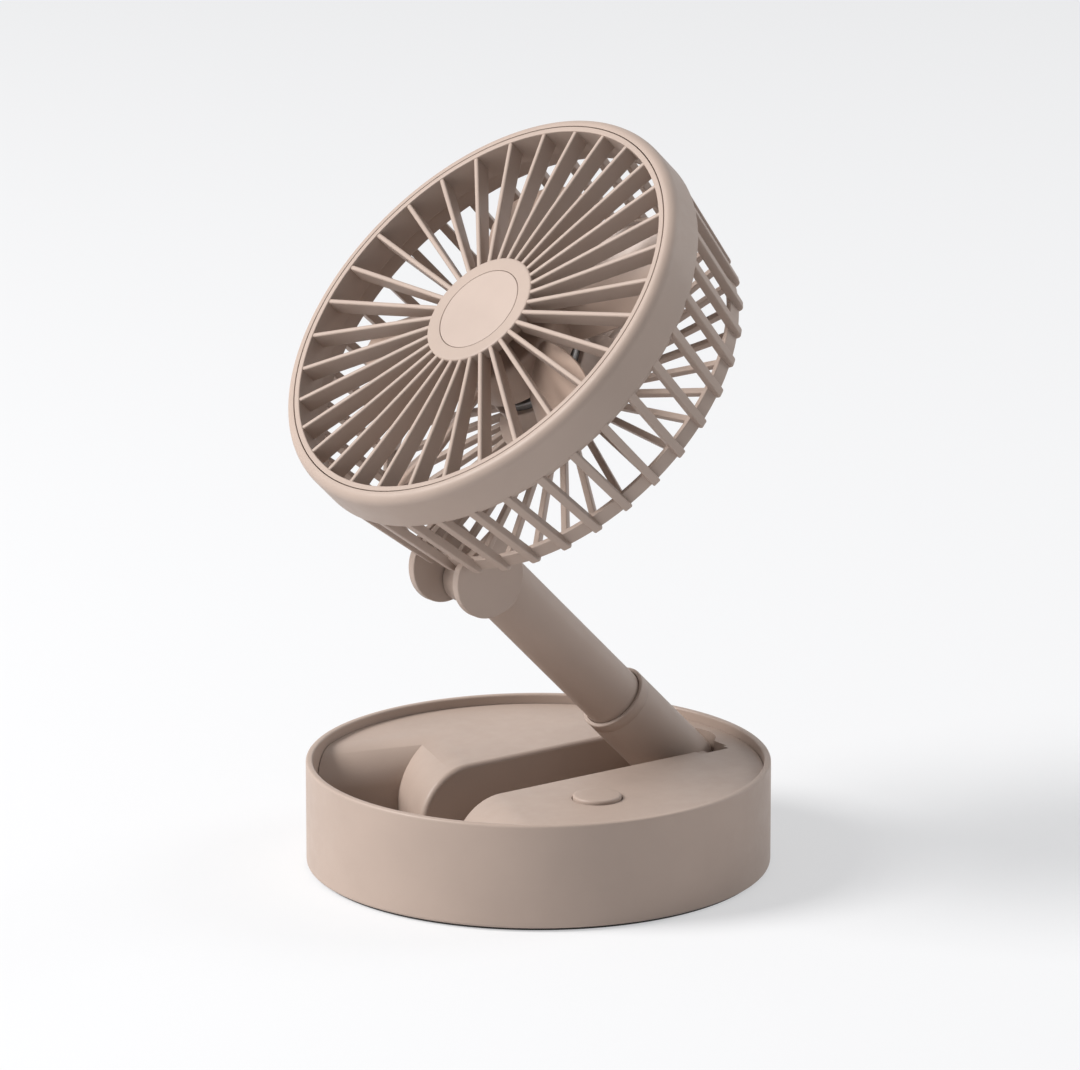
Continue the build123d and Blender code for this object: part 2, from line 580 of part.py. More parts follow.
MOTOR_BACK = REAR_S - BACK_T - 0.4
MOTOR_FRONT = MOTOR_BACK - MOTOR_L
CAGE_COLLAR_R = RING_R - RING_WALL - 0.1
with BuildPart() as rear_cage:
    with BuildSketch(head_section(0)):
        Polygon((CAGE_COLLAR_R - 1.9, RING_SEAT_S + 0.2), (CAGE_COLLAR_R, RING_SEAT_S + 0.2), (CAGE_COLLAR_R, COLLAR_BACK_S),
                (CAGE_COLLAR_R - 1.9, COLLAR_BACK_S), align=None)
        Polygon((CAGE_REAR_R - 0.4 - REAR_RING_T, REAR_S - REAR_RING_L), (CAGE_REAR_R - 0.1, REAR_S - REAR_RING_L),
                (CAGE_REAR_R - 0.4, REAR_S - 0.4), (CAGE_REAR_R - 0.8, REAR_S),
                (CAGE_REAR_R - 0.4 - REAR_RING_T, REAR_S), align=None)
        Polygon((SHAFT_R + 2, REAR_S - BACK_T), (MOTOR_R + PRESS_GAP, REAR_S - BACK_T),
                (MOTOR_R + PRESS_GAP, MOTOR_FRONT + 2), (MOTOR_R + MOTOR_WALL, MOTOR_FRONT + 2),
                (MOTOR_R + MOTOR_WALL, REAR_S - BACK_T), (BACK_HUB_R, REAR_S - BACK_T), (BACK_HUB_R, REAR_S),
                (COVER_R + 0.1, REAR_S), (COVER_R + 0.1, REAR_S - COVER_T - 0.05),
                (SHAFT_R + 2, REAR_S - COVER_T - 0.05), align=None)
    revolve(axis=HEAD_AXIS)
    rib_slope = (CAGE_REAR_R - RING_R + 0.4) / (REAR_S - RING_BACK_S)
    rib_start = RING_R - 0.4 + rib_slope * 0.1
    with BuildSketch(*[head_section((i + 0.5) * 360 / RIB_COUNT) for i in range(RIB_COUNT)]):
        Polygon((rib_start, RING_BACK_S + 0.1), (CAGE_REAR_R, REAR_S - 0.5), (CAGE_REAR_R - 0.5, REAR_S),
                (CAGE_REAR_R - RIB_DEPTH, REAR_S), (rib_start - RIB_DEPTH, RING_BACK_S + 0.1), align=None)
    extrude(amount=RIB_W / 2, both=True)
    with BuildSketch(*[head_section((i + 0.5) * 360 / RIB_COUNT) for i in range(RIB_COUNT)]):
        Polygon((BACK_HUB_R - 1, REAR_S - BACK_T), (CAGE_REAR_R - REAR_RING_T, REAR_S - BACK_T),
                (CAGE_REAR_R - REAR_RING_T, REAR_S - 0.2), (BACK_HUB_R - 1, REAR_S - 0.2), align=None)
    extrude(amount=BACK_SPOKE_W / 2, both=True)
    for y in (-EAR_IN, EAR_OUT):
        with BuildSketch(side_plane(centre, y, below)):
            with Locations((EAR_M, EAR_S)):
                Circle(EAR_R)
            Polygon((EAR_M - EAR_R, EAR_S), (EAR_M - EAR_R, REAR_S - 1.0), (CAGE_REAR_R - 1.0, REAR_S - 3.0),
                    (EAR_M, EAR_S), align=None)
        extrude(amount=EAR_T)
    with BuildSketch(side_plane(knuckle, EAR_OUT, (1, 0, 0))):
        Circle(TILT_PIN_R + 0.02)
    extrude(amount=EAR_OUT + EAR_IN + BLIND, mode=Mode.SUBTRACT)
    with BuildSketch(side_plane(knuckle, EAR_OUT, (1, 0, 0))):
        Circle(PIN_HEAD_R + 0.05)
    extrude(amount=PIN_HEAD_T + 0.22, mode=Mode.SUBTRACT)
    with BuildSketch(HEAD.offset(REAR_S)):
        with PolarLocations(MOTOR_SCREW_RING, 3, 90):
            Circle(MOTOR_SCREW_R + PRESS_GAP)
    extrude(amount=-2 * BACK_T, mode=Mode.SUBTRACT)
rear_cage.part.label = "rear_cage"

# ---- motor and rotor --------------------------------------------------------------------
with BuildPart() as motor_can:
    with BuildSketch(HEAD.offset(MOTOR_FRONT)):
        Circle(MOTOR_R)
    extrude(amount=MOTOR_L)
    fillet(motor_can.edges(), 0.6)
    with BuildSketch(HEAD.offset(MOTOR_FRONT)):
        Circle(3.0)
    extrude(amount=-1.0)
    with BuildSketch(HEAD.offset(MOTOR_FRONT - 1.0)):
        Circle(SHAFT_R + RUN_GAP)
    extrude(amount=MOTOR_L - 2.0, mode=Mode.SUBTRACT)
motor_can.part.label = "motor_can"

with BuildPart() as motor_cover:
    with BuildSketch(HEAD.offset(REAR_S)):
        Circle(COVER_R)
    extrude(amount=-COVER_T)
    fillet(motor_cover.edges().sort_by(HEAD_AXIS)[-1], 0.4)
motor_cover.part.label = "motor_cover"

with BuildPart() as motor_screws:
    with BuildSketch(HEAD.offset(REAR_S - COVER_T - 0.1)):
        with PolarLocations(MOTOR_SCREW_RING, 3, 90):
            Circle(MOTOR_SCREW_R)
    extrude(amount=-(BACK_T - COVER_T + 0.25))
motor_screws.part.label = "motor_screws"

FAN_BACK_S = FAN_FRONT_S + FAN_L
with BuildPart() as motor_shaft:
    with BuildSketch(HEAD.offset(FAN_FRONT_S - 0.5)):
        Circle(SHAFT_R)
    extrude(amount=MOTOR_FRONT + MOTOR_L - 4.0 - FAN_FRONT_S + 0.5)
    chamfer(motor_shaft.edges(), 0.2)
motor_shaft.part.label = "motor_shaft"

with BuildPart() as fan_impeller:
    with BuildSketch(head_section(0)):
        Polygon((0, FAN_FRONT_S + 1.0), (FAN_HUB_R - 1.5, FAN_FRONT_S + 1.0), (FAN_HUB_R, FAN_FRONT_S + 2.5),
                (FAN_HUB_R, FAN_BACK_S), (FAN_HUB_R - 1.5, FAN_BACK_S), (FAN_HUB_R - 1.5, FAN_FRONT_S + 3.0),
                (3.2, FAN_FRONT_S + 3.0), (3.2, FAN_BACK_S - 0.5), (0, FAN_BACK_S - 0.5), align=None)
    revolve(axis=HEAD_AXIS)
    for i in range(BLADES):
        spin = head_section(i * 360 / BLADES)
        spoke = Plane(origin=centre + HEAD.z_dir * (FAN_FRONT_S + FAN_L / 2 + 0.6), x_dir=spin.z_dir, z_dir=spin.x_dir)
        with BuildSketch(spoke.offset(FAN_HUB_R - 0.9)):
            with Locations(Rotation(0, 0, 42)):
                Rectangle(14.0, BLADE_T + 0.5)
        with BuildSketch(spoke.offset(BLADE_R)):
            with Locations(Rotation(0, 0, 24)):
                Rectangle(27.0, BLADE_T - 0.2)
        loft()
    with BuildSketch(HEAD.offset(FAN_FRONT_S)):
        Circle(BLADE_R)
    extrude(amount=2 * FAN_L, mode=Mode.INTERSECT)
    with BuildSketch(HEAD.offset(FAN_FRONT_S)):
        Circle(SHAFT_R + 0.01)
    extrude(amount=2 * FAN_L, mode=Mode.SUBTRACT)
fan_impeller.part.label = "fan_impeller"

with BuildPart() as impeller_nut:
    with BuildSketch(HEAD.offset(FAN_FRONT_S + 1.0 - PRESS_GAP)):
        Circle(3.4)
        Circle(SHAFT_R + 0.03, mode=Mode.SUBTRACT)
    extrude(amount=-1.2)
impeller_nut.part.label = "impeller_nut"

# ---- files ------------------------------------------------------------------------------
pieces = [p.part for p in (
    base_shell, foot_pad, base_deck, deck_screws, hinge_bracket, hinge_pin, hinge_washers, battery_cell,
    control_board, usb_socket, switch_board, tact_switch, switch_plunger, power_button, outer_sleeve, inner_tube,
    tilt_core, tilt_pin, front_grille, hub_disc, rear_cage, motor_can, motor_cover, motor_screws,
    motor_shaft, fan_impeller, impeller_nut)] + [sleeve_collar, tube_bushing, front_ring]

os.makedirs("parts", exist_ok=True)
for piece in pieces:
    export_step(piece, "parts/" + piece.label + ".step")
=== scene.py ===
import bpy, bmesh, json
from math import cos, sin, pi, radians, sqrt
from mathutils import Matrix, Vector


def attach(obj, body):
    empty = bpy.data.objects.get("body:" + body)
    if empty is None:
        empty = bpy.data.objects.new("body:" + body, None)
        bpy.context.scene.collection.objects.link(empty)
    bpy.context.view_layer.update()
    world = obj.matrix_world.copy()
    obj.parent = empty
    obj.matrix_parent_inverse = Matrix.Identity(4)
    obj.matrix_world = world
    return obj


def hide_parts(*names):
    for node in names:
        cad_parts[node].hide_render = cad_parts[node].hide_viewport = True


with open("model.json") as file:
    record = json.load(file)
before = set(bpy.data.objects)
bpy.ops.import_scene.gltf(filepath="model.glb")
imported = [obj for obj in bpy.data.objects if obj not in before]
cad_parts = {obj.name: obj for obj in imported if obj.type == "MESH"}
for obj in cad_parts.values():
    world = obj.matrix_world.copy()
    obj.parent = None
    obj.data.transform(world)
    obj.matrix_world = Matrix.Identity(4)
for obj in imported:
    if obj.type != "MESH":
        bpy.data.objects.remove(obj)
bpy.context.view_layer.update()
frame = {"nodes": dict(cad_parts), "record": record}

MM = 0.001

# ---- sizes of the fan, in millimetres -----------------------------------------------------
BASE_R, BASE_H, WALL, FOOT_T, FLOOR_TOP = 60.0, 28.0, 1.8, 0.8, 3.2
PAD_R, PAD_TOP = 58.5, 0.78
SOCKET_LOW, SOCKET_HIGH, SOCKET_HALF, SOCKET_TURN = 6.4, 9.8, 4.8, radians(75)
PIVOT = Vector((45.46, 0, 18.42))
TILT = radians(45)
ALONG = Vector((-cos(TILT), 0, sin(TILT)))
BELOW = Vector((-sin(TILT), 0, -cos(TILT)))
ARM_LEN, KNUCKLE_DROP = 86.7, 3.0
KNUCKLE = PIVOT + ALONG * ARM_LEN + BELOW * KNUCKLE_DROP
KNUCKLE_S, KNUCKLE_M = 52.4, 50.35
CENTRE = KNUCKLE + ALONG * KNUCKLE_S - BELOW * KNUCKLE_M
SLEEVE_R, SLEEVE_LEN, SLEEVE_WALL, TUBE_R, TUBE_WALL = 9.33, 30.8, 0.95, 8.08, 1.5
TUBE_HIDDEN, LIP_LEN = 12.0, 3.0
RING_R, SEAM_R, REAR_S, CAGE_REAR_R = 60.1, 57.1, 39.4, 55.1
RING_LEN, HUB_R, DISC_R, GRILLE_SPOKES, SPOKE_HALF = 11.3, 16.1, 12.0, 32, 0.65
CAGE_RIBS, RIB_HALF, RIB_DEPTH, BACK_SPOKE_HALF = 36, 1.15, 2.4, 0.9
EAR_R, EAR_M, EAR_S, EAR_IN, EAR_T = 10.3, 50.9, 46.0, 8.45, 2.45
EAR_LEAN = radians(66.5)
BLADES, BLADE_TIP, BLADE_T = 5, 50.8, 1.1
BUTTON, BUTTON_TOP, BUTTON_R = Vector((-4.2, -31.1, 0)), 26.6, 6.25
TURNS = 128         # steps round a turned piece, where nothing else is said


def axes(origin, x_dir, z_dir):
    """Matrix from a piece's own millimetres to the shared frame in metres."""
    y_dir = z_dir.cross(x_dir)
    turn = Matrix((x_dir, y_dir, z_dir)).transposed().to_4x4()
    return Matrix.Scale(MM, 4) @ Matrix.Translation(origin) @ turn


BASE = axes(Vector((0, 0, 0)), Vector((1, 0, 0)), Vector((0, 0, 1)))
ARM = axes(PIVOT, BELOW, ALONG)
HEAD = axes(CENTRE, BELOW, -ALONG)

# ---- materials ------------------------------------------------------------------------------


def node_tree(name):
    material = bpy.data.materials.new(name)
    material.use_nodes = True
    nodes = material.node_tree.nodes
    nodes.clear()
    out = nodes.new("ShaderNodeOutputMaterial")
    shader = nodes.new("ShaderNodeBsdfPrincipled")
    material.node_tree.links.new(shader.outputs[0], out.inputs[0])
    return material, nodes, material.node_tree.links, shader


def noise(nodes, links, where, scale, detail=3.0, rough=0.5):
    n = nodes.new("ShaderNodeTexNoise")
    n.inputs["Scale"].default_value = scale
    n.inputs["Detail"].default_value = detail
    n.inputs["Roughness"].default_value = rough
    links.new(where, n.inputs["Vector"])
    return n.outputs["Fac"]


def ramp(nodes, links, fac, low, high, start=0.35, end=0.65):
    r = nodes.new("ShaderNodeMapRange")
    r.inputs["From Min"].default_value = start
    r.inputs["From Max"].default_value = end
    r.inputs["To Min"].default_value = low
    r.inputs["To Max"].default_value = high
    links.new(fac, r.inputs["Value"])
    return r.outputs["Result"]


def tinted(nodes, links, fac, dark, light):
    m = nodes.new("ShaderNodeMix")
    m.data_type = "RGBA"
    m.inputs["A"].default_value = (*dark, 1)
    m.inputs["B"].default_value = (*light, 1)
    links.new(fac, m.inputs["Factor"])
    return m.outputs["Result"]


def bumped(nodes, links, height, distance, strength, below=None):
    b = nodes.new("ShaderNodeBump")
    b.inputs["Distance"].default_value = distance
    b.inputs["Strength"].default_value = strength
    links.new(height, b.inputs["Height"])
    if below:
        links.new(below, b.inputs["Normal"])
    return b.outputs["Normal"]


def moulded_plastic(name, colour, shine, grain=2600.0, depth=0.00003, spread=0.035):
    """Spark-textured plastic: slow drift of tone, fine matt grain, small marks in the sheen."""
    material, nodes, links, shader = node_tree(name)
    where = nodes.new("ShaderNodeTexCoord").outputs["Object"]
    slow = noise(nodes, links, where, 38.0, 4.0)
    fine = noise(nodes, links, where, grain, 2.0, 0.6)
    flow = noise(nodes, links, where, 210.0, 5.0, 0.65)
    dark = tuple(c * (1 - spread) for c in colour)
    light = tuple(min(1.0, c * (1 + spread)) for c in colour)
    drift = ramp(nodes, links, slow, 0.0, 1.0)
    links.new(tinted(nodes, links, drift, dark, light), shader.inputs["Base Color"])
    links.new(ramp(nodes, links, flow, shine - 0.05, shine + 0.06), shader.inputs["Roughness"])
    soft = bumped(nodes, links, slow, 0.0006, 0.05)
    links.new(bumped(nodes, links, fine, depth, 0.35, soft), shader.inputs["Normal"])
    shader.inputs["Specular IOR Level"].default_value = 0.42
    return material


def drawn_metal(name, colour, shine, stretch=(400.0, 400.0, 4000.0)):
    """Metal with fine drawing lines."""
    material, nodes, links, shader = node_tree(name)
    mapping = nodes.new("ShaderNodeMapping")
    mapping.inputs["Scale"].default_value = stretch
    links.new(nodes.new("ShaderNodeTexCoord").outputs["Object"], mapping.inputs["Vector"])
    lines = noise(nodes, links, mapping.outputs["Vector"], 1.0, 3.0)
    links.new(ramp(nodes, links, lines, shine - 0.08, shine + 0.1), shader.inputs["Roughness"])
    dark = tuple(c * 0.88 for c in colour)
    links.new(tinted(nodes, links, lines, dark, colour), shader.inputs["Base Color"])
    links.new(bumped(nodes, links, lines, 0.00002, 0.3), shader.inputs["Normal"])
    shader.inputs["Metallic"].default_value = 1.0
    return material


def pad_rubber(name):
    """Dull black rubber with a coarse grain."""
    material, nodes, links, shader = node_tree(name)
    where = nodes.new("ShaderNodeTexCoord").outputs["Object"]
    fine = noise(nodes, links, where, 1800.0, 4.0, 0.7)
    dark, light = (0.035, 0.032, 0.031), (0.07, 0.064, 0.06)
    links.new(tinted(nodes, links, fine, dark, light), shader.inputs["Base Color"])
    links.new(ramp(nodes, links, fine, 0.75, 0.9), shader.inputs["Roughness"])
    links.new(bumped(nodes, links, fine, 0.00008, 0.5), shader.inputs["Normal"])
    return material


def coated_board(name):
    """Printed board: solder mask with faint copper runs under it."""
    material, nodes, links, shader = node_tree(name)
    where = nodes.new("ShaderNodeTexCoord").outputs["Object"]
    runs = nodes.new("ShaderNodeTexBrick")
    runs.inputs["Scale"].default_value = 320.0
    runs.inputs["Mortar Size"].default_value = 0.03
    runs.inputs["Color1"].default_value = (0.01, 0.07, 0.03, 1)
    runs.inputs["Color2"].default_value = (0.012, 0.085, 0.036, 1)
    runs.inputs["Mortar"].default_value = (0.03, 0.15, 0.06, 1)
    links.new(where, runs.inputs["Vector"])
    links.new(runs.outputs["Color"], shader.inputs["Base Color"])
    links.new(bumped(nodes, links, runs.outputs["Fac"], 0.00003, 0.4), shader.inputs["Normal"])
    shader.inputs["Roughness"].default_value = 0.3
    return material


TAUPE = (0.395, 0.307, 0.258)
taupe = moulded_plastic("taupe_plastic", TAUPE, 0.5)
taupe_hub = moulded_plastic("hub_plastic", (0.425, 0.335, 0.287), 0.46, 3200.0, 0.00002)
taupe_fan = moulded_plastic("fan_plastic", (0.36, 0.265, 0.215), 0.4, 3000.0, 0.00002)
nylon = moulded_plastic("natural_nylon", (0.7, 0.68, 0.62), 0.42, 1500.0, 0.00001)
black_plastic = moulded_plastic("switch_plastic", (0.03, 0.03, 0.032), 0.45)
cell_film = moulded_plastic("cell_film", (0.05, 0.12, 0.24), 0.3, 900.0, 0.00001)
rubber = pad_rubber("pad_rubber")
board = coated_board("board_coating")
steel = drawn_metal("pin_steel", (0.62, 0.61, 0.6), 0.3)
stamped = drawn_metal("stamped_steel", (0.5, 0.5, 0.5), 0.42, (300.0, 2500.0, 300.0))
motor_steel = drawn_metal("motor_steel", (0.3, 0.29, 0.285), 0.5, (500.0, 500.0, 500.0))
screw_zinc = drawn_metal("screw_zinc", (0.6, 0.6, 0.62), 0.34, (900.0, 900.0, 900.0))

FINISH = {
    "body_plastic": taupe, "button_plastic": taupe,
    "hub_plastic": taupe_hub, "fan_plastic": taupe_fan,
    "foot_rubber": rubber, "screw_steel": screw_zinc,
    "bracket_steel": stamped, "pin_steel": steel,
    "washer_nylon": nylon, "cell_wrap": cell_film,
    "board_green": board, "socket_steel": steel,
    "switch_black": black_plastic, "motor_steel": motor_steel,
}
SLOT = {part["node"]: part["material_slot"] for part in frame["record"]["subparts"]}
BODY = {node: body for body, nodes in frame["record"]["behaviour"]["bodies"].items()
        for node in nodes}
for name, node in frame["nodes"].items():
    node.data.materials.clear()
    node.data.materials.append(FINISH[SLOT[name]])

# ---- making pieces --------------------------------------------------------------------------


def finished(bm, name, node, place, edge=0.25, steps=3, angle=32.0, extra=()):
    """Turns a bmesh into a piece that rides on its node's body and stands for it."""
    bmesh.ops.transform(bm, matrix=place, verts=bm.verts)
    mesh = bpy.data.meshes.new(name)
    bm.to_mesh(mesh)
    bm.free()
    mesh.polygons.foreach_set("use_smooth", [True] * len(mesh.polygons))
    piece = bpy.data.objects.new(name, mesh)
    bpy.context.scene.collection.objects.link(piece)
    mesh.materials.append(FINISH[SLOT[node]])
    if edge:
        bevel = piece.modifiers.new("rounded_edges", "BEVEL")
        bevel.width = edge * MM
        bevel.segments = steps
        bevel.limit_method = "ANGLE"
        bevel.angle_limit = radians(angle)
    normals = piece.modifiers.new("even_shading", "WEIGHTED_NORMAL")
    normals.keep_sharp = True
    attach(piece, BODY[node])
    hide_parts(node, *extra)


def add_turned(bm, profile, steps=192):
    """Turns a closed profile of (radius, height) round the z axis."""
    verts = [bm.verts.new((r, 0, z)) for r, z in profile]
    edges = [bm.edges.new((verts[i], verts[(i + 1) % len(verts)])) for i in range(len(verts))]
    bmesh.ops.spin(bm, geom=verts + edges, cent=(0, 0, 0), axis=(0, 0, 1), angle=2 * pi,
                   steps=steps, use_merge=True)
    bmesh.ops.remove_doubles(bm, verts=bm.verts, dist=1e-4)
    lone = [e for e in bm.edges if not e.link_faces]
    bmesh.ops.delete(bm, geom=lone, context="EDGES")


def round_off(profile, radius, steps=5):
    """Rounds a profile's corners: each point is (r, z) or (r, z, radius of its own)."""
    points = []
    count = len(profile)
    for i, corner in enumerate(profile):
        here = Vector(corner[:2])
        size = corner[2] if len(corner) > 2 else radius
        before, after = Vector(profile[i - 1][:2]), Vector(profile[(i + 1) % count][:2])
        a, b = (before - here), (after - here)
        if size <= 0 or a.length < 1e-6 or b.length < 1e-6:
            points.append(tuple(here))
            continue
        turn = a.angle(b)
        wanted = size / max(1e-6, sin(turn / 2) / cos(turn / 2))
        reach = min(wanted, 0.49 * a.length, 0.49 * b.length)
        start, end = here + a.normalized() * reach, here + b.normalized() * reach
        for k in range(steps + 1):
            t = k / steps
            points.append(tuple(start * (1 - t) ** 2 + here * 2 * t * (1 - t) + end * t ** 2))
    return points


def closed(bm):
    """Turns all faces outward."""
    bmesh.ops.recalc_face_normals(bm, faces=bm.faces)


def add_bar(bm, low, high, turn=0.0, taper=None):
    """Box between two corners in (outward, side, along), turned round the axis."""
    made = bmesh.ops.create_cube(bm, size=1.0)["verts"]
    size, middle = Vector(high) - Vector(low), (Vector(high) + Vector(low)) / 2
    bmesh.ops.scale(bm, vec=size, verts=made)
    bmesh.ops.translate(bm, vec=middle, verts=made)
    if taper:
        taper(made)
    bmesh.ops.rotate(bm, cent=(0, 0, 0), matrix=Matrix.Rotation(turn, 3, "Z"), verts=made)


# ---- base -----------------------------------------------------------------------------------
def make_shell():
    """Round cup, with the opening for the charging socket cut through its wall."""
    bm = bmesh.new()
    inner = BASE_R - WALL
    wall = [(0, FOOT_T, 0), (BASE_R, FOOT_T, 0.9), (BASE_R, BASE_H, 0.75), (inner, BASE_H, 0.6),
            (inner, FLOOR_TOP, 0.4), (0, FLOOR_TOP, 0)]
    add_turned(bm, round_off(wall, 0.5))
    closed(bm)
    for z in (SOCKET_LOW - 0.1, SOCKET_HIGH + 0.1):
        bmesh.ops.bisect_plane(bm, geom=bm.verts[:] + bm.edges[:] + bm.faces[:],
                               plane_co=(0, 0, z), plane_no=(0, 0, 1))
    socket = Vector((cos(SOCKET_TURN), sin(SOCKET_TURN), 0))
    side = Vector((-socket.y, socket.x, 0))
    hole = []
    for face in bm.faces:
        middle = face.calc_center_median()
        in_wall = middle.to_2d().length > inner - 1 and middle.dot(socket) > 0
        at_height = SOCKET_LOW - 0.2 < middle.z < SOCKET_HIGH + 0.2
        if in_wall and at_height and abs(middle.dot(side)) < SOCKET_HALF:
            hole.append(face)
    bmesh.ops.delete(bm, geom=hole, context="FACES")
    rim = [e for e in bm.edges if e.is_boundary]
    bmesh.ops.bridge_loops(bm, edges=rim)
    closed(bm)
    finished(bm, "shell_cup", "base_shell", BASE, edge=0.35, steps=3, angle=40)


def make_deck():
    """The deck keeps its solid's shape; its edges are rounded as moulded ones are."""
    bm = bmesh.new()
    bm.from_mesh(frame["nodes"]["base_deck"].data)
    bmesh.ops.remove_doubles(bm, verts=bm.verts, dist=2e-6)
    bmesh.ops.dissolve_limit(bm, angle_limit=radians(0.6), verts=bm.verts, edges=bm.edges)
    closed(bm)
    finished(bm, "deck_moulding", "base_deck", Matrix.Identity(4), edge=0.8, steps=4, angle=38)


def make_pad():
    bm = bmesh.new()
    add_turned(bm, round_off([(0, 0, 0), (PAD_R, 0, 0.25), (PAD_R, PAD_TOP, 0.1),
                              (0, PAD_TOP, 0)], 0.2), 160)
    closed(bm)
    finished(bm, "rubber_pad", "foot_pad", BASE, edge=0)


def make_button():
    """Round cap with a soft edge and a faintly domed top, on its flange and stem."""
    bm = bmesh.new()
    stem_r, stem_low, flange_r, flange_low, flange_top = 1.6, 18.8, 7.15, 21.9, 22.9
    cap = [(0, stem_low, 0), (stem_r, stem_low, 0), (stem_r, flange_low, 0),
           (flange_r, flange_low, 0.1), (flange_r, flange_top, 0.1), (BUTTON_R, flange_top, 0),
           (BUTTON_R, BUTTON_TOP - 0.15, 0.8), (4.2, BUTTON_TOP, 1.5), (0, BUTTON_TOP, 0)]
    add_turned(bm, round_off(cap, 0.2), 96)
    closed(bm)
    bmesh.ops.translate(bm, vec=BUTTON, verts=bm.verts)
    finished(bm, "button_cap", "power_button", BASE, edge=0)


# ---- arm ------------------------------------------------------------------------------------
def ball_end(radius, height, steps=14):
    """Points of a ball end from the axis up to the side, below the given height."""
    turns = [pi / 2 * k / steps for k in range(steps + 1)]
    return [(radius * sin(turn), height - radius * cos(turn)) for turn in turns]


def add_cross_pin(bm, at, radius, half, rim=0.4, steps=72):
    """Round boss along the hinge axis, centred at (below, along) in the arm's own plane."""
    fresh = bmesh.new()
    boss = [(0, -half, 0), (radius, -half, rim), (radius, half, rim), (0, half, 0)]
    add_turned(fresh, round_off(boss, rim, 4), steps)
    bmesh.ops.rotate(fresh, cent=(0, 0, 0), matrix=Matrix.Rotation(pi / 2, 3, "X"),
                     verts=fresh.verts)
    bmesh.ops.translate(fresh, vec=(at[0], 0, at[1]), verts=fresh.verts)
    closed(fresh)
    held = bpy.data.meshes.new("boss")
    fresh.to_mesh(held)
    fresh.free()
    bm.from_mesh(held)
    bpy.data.meshes.remove(held)


def make_sleeve():
    """Outer tube with its ball foot and the boss for the hinge pin."""
    bm = bmesh.new()
    bore, mouth, bore_foot = SLEEVE_R - SLEEVE_WALL, SLEEVE_LEN - LIP_LEN, 6.4
    outer = ball_end(SLEEVE_R, 0)
    add_turned(bm, outer + [(SLEEVE_R, mouth), (bore, mouth), (bore, bore_foot), (0, bore_foot)],
               TURNS)
    closed(bm)
    add_cross_pin(bm, (0, 0), 5.2, 11.5)
    finished(bm, "sleeve_tube", "outer_sleeve", ARM, edge=0)


def make_collar():
    bm = bmesh.new()
    low = SLEEVE_LEN - 2.99
    lip = [(TUBE_R + 0.06, low, 0), (SLEEVE_R, low, 0), (SLEEVE_R, SLEEVE_LEN, 0.5),
           (TUBE_R + 0.3, SLEEVE_LEN, 0.2), (TUBE_R + 0.06, SLEEVE_LEN - 0.5, 0.1)]
    add_turned(bm, round_off(lip, 0.1), TURNS)
    closed(bm)
    finished(bm, "sleeve_lip", "sleeve_collar", ARM, edge=0)


def make_tube():
    """Inner tube, open at its foot, with a dome and the round knuckle at its top."""
    bm = bmesh.new()
    foot, inner, bore_top = SLEEVE_LEN - TUBE_HIDDEN, TUBE_R - TUBE_WALL, ARM_LEN - 14.0
    dome = [(r, 2 * ARM_LEN - z) for r, z in reversed(ball_end(TUBE_R, ARM_LEN))]
    add_turned(bm, [(inner, foot), (TUBE_R, foot)] + dome + [(0, bore_top), (inner, bore_top)],
               TURNS)
    closed(bm)
    add_cross_pin(bm, (KNUCKLE_DROP, ARM_LEN), 6.5, TUBE_R - 0.05)
    finished(bm, "tube_with_knuckle", "inner_tube", ARM, edge=0)


# ---- head -----------------------------------------------------------------------------------
def make_front_ring():
    """Ring whose front edge rolls over in a quarter ellipse."""
    bm = bmesh.new()
    roll_in, roll_deep, roll_steps, wall, step_at = 2.2, 2.9, 12, 1.5, 8.6
    turns = [pi / 2 * k / roll_steps for k in range(roll_steps + 1)]
    front = [(RING_R - roll_in * (1 - sin(turn)), 0.1 + roll_deep * (1 - cos(turn)), 0)
             for turn in turns]
    back = [(RING_R, RING_LEN, 0.35), (RING_R - wall, RING_LEN, 0.2), (RING_R - wall, step_at, 0),
            (SEAM_R + 0.1, step_at, 0)]
    add_turned(bm, round_off([(SEAM_R + 0.1, 0.1, 0.2)] + front + back, 0.3), 224)
    closed(bm)
    finished(bm, "ring_shell", "front_ring", HEAD, edge=0)


def sink_hub_end(made):
    """Lets a spoke's front edge run down to the hub's face at its inner end."""
    for v in made:
        if v.co.z < 1 and v.co.x < 30:
            v.co.z = 1.15


def make_front_grille():
    """Collar, hub and spokes in one moulding."""
    bm = bmesh.new()
    outer, inner, seat = SEAM_R - 0.12, SEAM_R - 1.6, DISC_R + 0.1
    collar = [(inner, 0.12, 0.35), (outer, 0.12, 0.2), (outer, 8.4, 0), (inner, 8.4, 0.3)]
    hub = [(seat, 1.0, 0.22), (HUB_R, 1.0, 0.6), (HUB_R, 4.0, 0.2), (0, 4.0, 0), (0, 2.5, 0),
           (seat, 2.5, 0)]
    add_turned(bm, round_off(collar, 0.2), 224)
    add_turned(bm, round_off(hub, 0.2), TURNS)
    closed(bm)
    for i in range(GRILLE_SPOKES):
        add_bar(bm, (HUB_R - 0.7, -SPOKE_HALF, 0.35), (inner + 0.8, SPOKE_HALF, 5.5),
                pi + i * 2 * pi / GRILLE_SPOKES, sink_hub_end)
    finished(bm, "grille_spokes", "front_grille", HEAD, edge=0.5, steps=4, angle=50)


def make_hub_disc():
    bm = bmesh.new()
    disc = [(0, 0.96, 0), (DISC_R, 1.0, 0.28), (DISC_R, 2.35, 0.1), (0, 2.35, 0)]
    add_turned(bm, round_off(disc, 0.2), TURNS)
    closed(bm)
    finished(bm, "plain_disc", "hub_disc", HEAD, edge=0)


